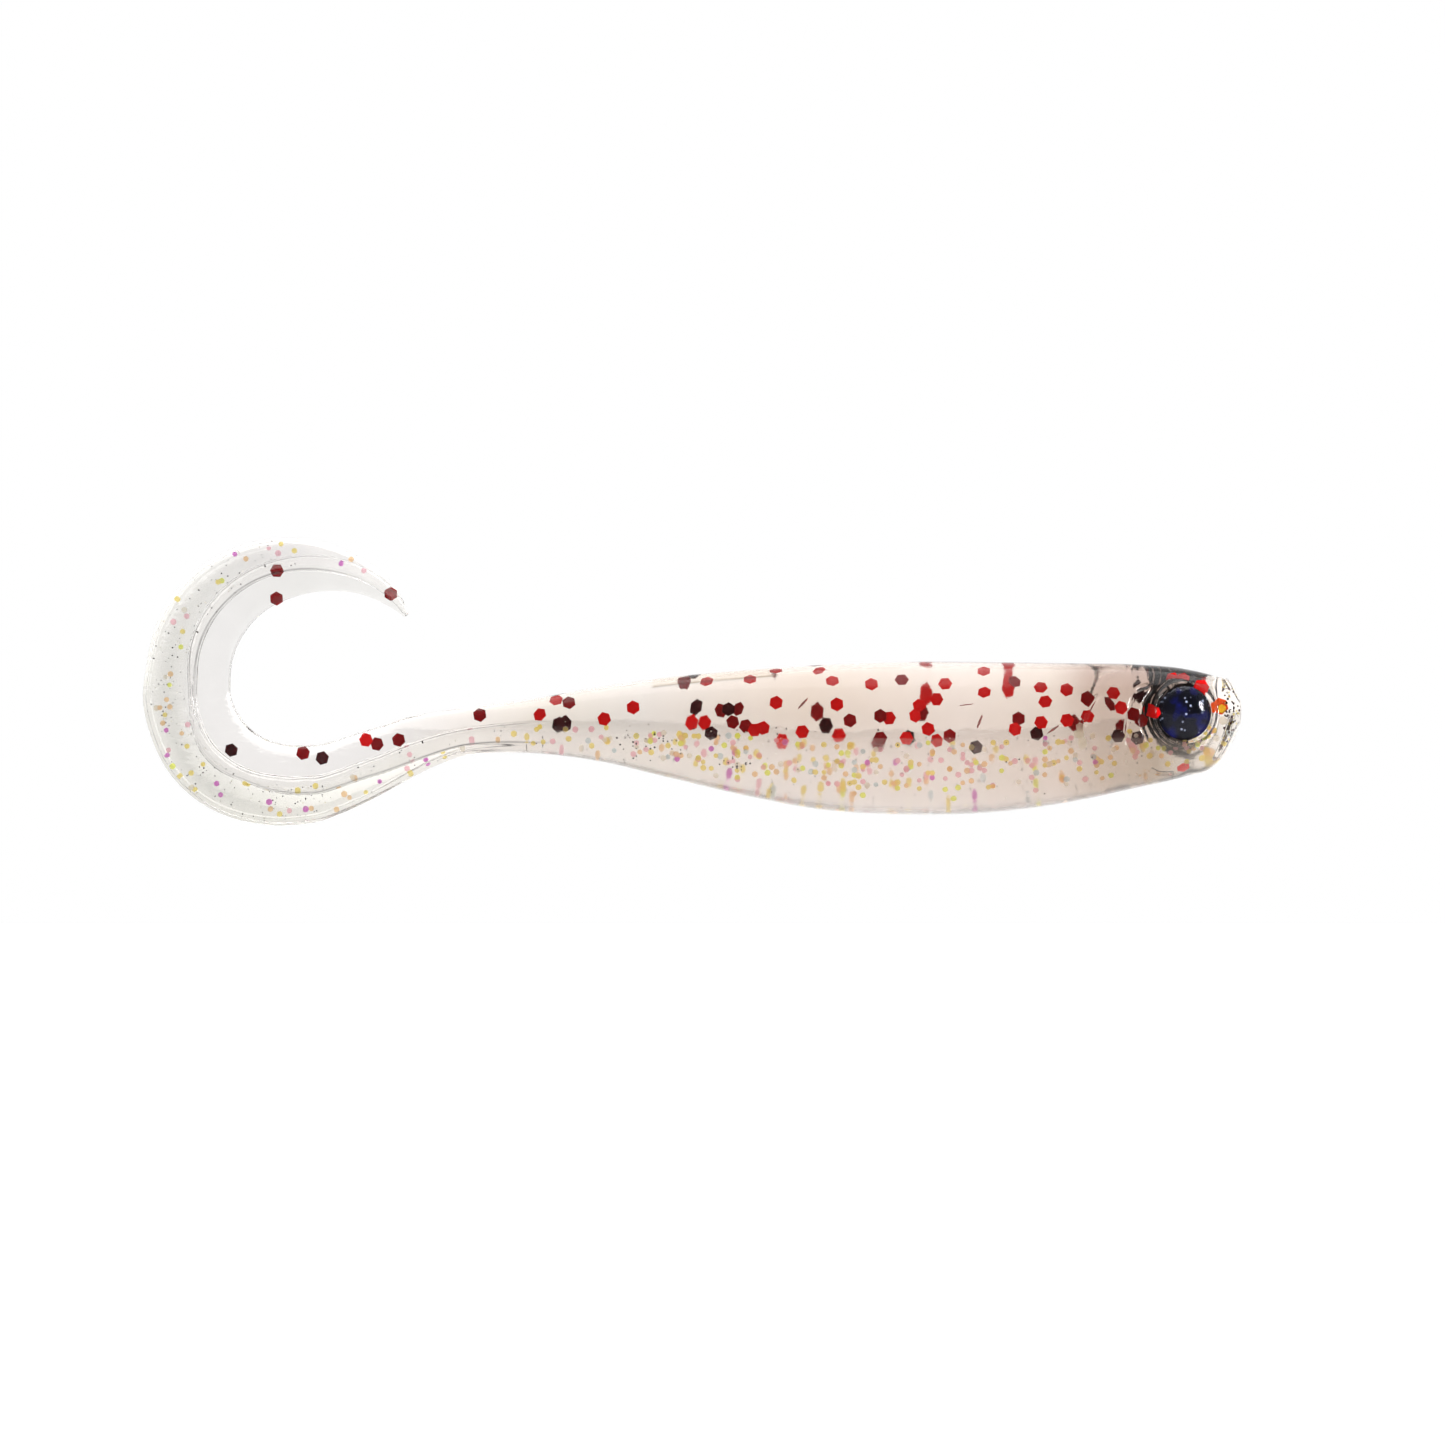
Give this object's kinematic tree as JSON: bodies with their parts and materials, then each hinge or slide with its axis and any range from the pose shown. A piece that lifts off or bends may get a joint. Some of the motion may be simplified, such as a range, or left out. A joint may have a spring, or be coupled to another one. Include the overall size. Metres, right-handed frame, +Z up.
{
  "type": "soft plastic curly-tail minnow bait",
  "caption": "Soft plastic minnow bait moulded in a clear back and a pearl belly, with domed eyes and a flat ribbed ribbon tail that curls forward and pulls out straight.",
  "frame": {"origin": "middle of the flat nose face, where a jig head's collar seats", "axes": "+X out of the nose along the body, +Z up through the back, Y from side to side; the curled tail lies in the XZ plane"},
  "size_m": [0.1016, 0.0096, 0.0266],
  "materials": {
    "clear_plastic": "clear soft plastic with large red flakes, wet gloss",
    "pearl_plastic": "milky pearl soft plastic with fine gold, pink and pearl flakes, wet gloss",
    "eye_foil": "dark blue glitter foil",
    "eye_resin": "dark tinted resin, polished dome"
  },
  "bodies": {
    "body": {"front_back_pour": "clear_plastic", "front_belly_pour": "pearl_plastic", "left_eye_foil": "eye_foil", "left_eye_dome": "eye_resin", "right_eye_foil": "eye_foil", "right_eye_dome": "eye_resin"},
    "rear_body": {"rear_back_pour": "clear_plastic", "rear_belly_pour": "pearl_plastic"},
    "wrist": {"wrist_back_pour": "clear_plastic", "wrist_belly_pour": "pearl_plastic"},
    "tail_1": {"tail_1_inner_blade": "clear_plastic", "tail_1_outer_blade": "pearl_plastic"},
    "tail_2": {"tail_2_inner_blade": "clear_plastic", "tail_2_outer_blade": "pearl_plastic"},
    "tail_3": {"tail_3_inner_blade": "clear_plastic", "tail_3_outer_blade": "pearl_plastic"},
    "tail_4": {"tail_4_inner_blade": "clear_plastic", "tail_4_outer_blade": "pearl_plastic"},
    "tail_5": {"tail_5_inner_blade": "clear_plastic", "tail_5_outer_blade": "pearl_plastic"},
    "tail_6": {"tail_6_inner_blade": "clear_plastic", "tail_6_outer_blade": "pearl_plastic"},
    "tail_7": {"tail_7_inner_blade": "clear_plastic", "tail_7_outer_blade": "pearl_plastic"}
  },
  "joints": [
    {"name": "trunk_bend", "type": "hinge", "parent": "body", "child": "rear_body", "pos_m": [-0.046, 0, -0.0018], "axis": [0, 0, 1], "range_deg": [-15, 15], "stiffness_Nm_per_rad": 0.02},
    {"name": "tail_swing", "type": "hinge", "parent": "rear_body", "child": "wrist", "pos_m": [-0.063, 0, -0.0011], "axis": [0, 0, 1], "range_deg": [-35, 35], "stiffness_Nm_per_rad": 0.006},
    {"name": "tail_flutter", "type": "hinge", "parent": "wrist", "child": "tail_1", "pos_m": [-0.075, 0, -0.0025], "axis": [0, 0, 1], "range_deg": [-30, 30], "stiffness_Nm_per_rad": 0.004},
    {"name": "tail_uncurl_1", "type": "hinge", "parent": "tail_1", "child": "tail_2", "pos_m": [-0.0846, 0, -0.00982], "axis": [0, -1, 0], "range_deg": [0, 36], "stiffness_Nm_per_rad": 0.002},
    {"name": "tail_uncurl_2", "type": "hinge", "parent": "tail_2", "child": "tail_3", "pos_m": [-0.09317, 0, -0.00987], "axis": [0, -1, 0], "range_deg": [0, 36], "stiffness_Nm_per_rad": 0.002},
    {"name": "tail_uncurl_3", "type": "hinge", "parent": "tail_3", "child": "tail_4", "pos_m": [-0.10012, 0, -0.00361], "axis": [0, -1, 0], "range_deg": [0, 36], "stiffness_Nm_per_rad": 0.002},
    {"name": "tail_uncurl_4", "type": "hinge", "parent": "tail_4", "child": "tail_5", "pos_m": [-0.10095, 0, 0.00619], "axis": [0, -1, 0], "range_deg": [0, 36], "stiffness_Nm_per_rad": 0.002},
    {"name": "tail_uncurl_5", "type": "hinge", "parent": "tail_5", "child": "tail_6", "pos_m": [-0.09502, 0, 0.01445], "axis": [0, -1, 0], "range_deg": [0, 36], "stiffness_Nm_per_rad": 0.002},
    {"name": "tail_uncurl_6", "type": "hinge", "parent": "tail_6", "child": "tail_7", "pos_m": [-0.08506, 0, 0.01579], "axis": [0, -1, 0], "range_deg": [0, 36], "stiffness_Nm_per_rad": 0.002}
  ],
  "couplings": [
    {"joint": "tail_uncurl_2", "follows": "tail_uncurl_1", "ratio": 1},
    {"joint": "tail_uncurl_3", "follows": "tail_uncurl_1", "ratio": 1},
    {"joint": "tail_uncurl_4", "follows": "tail_uncurl_1", "ratio": 1},
    {"joint": "tail_uncurl_5", "follows": "tail_uncurl_1", "ratio": 1},
    {"joint": "tail_uncurl_6", "follows": "tail_uncurl_1", "ratio": 1}
  ]
}
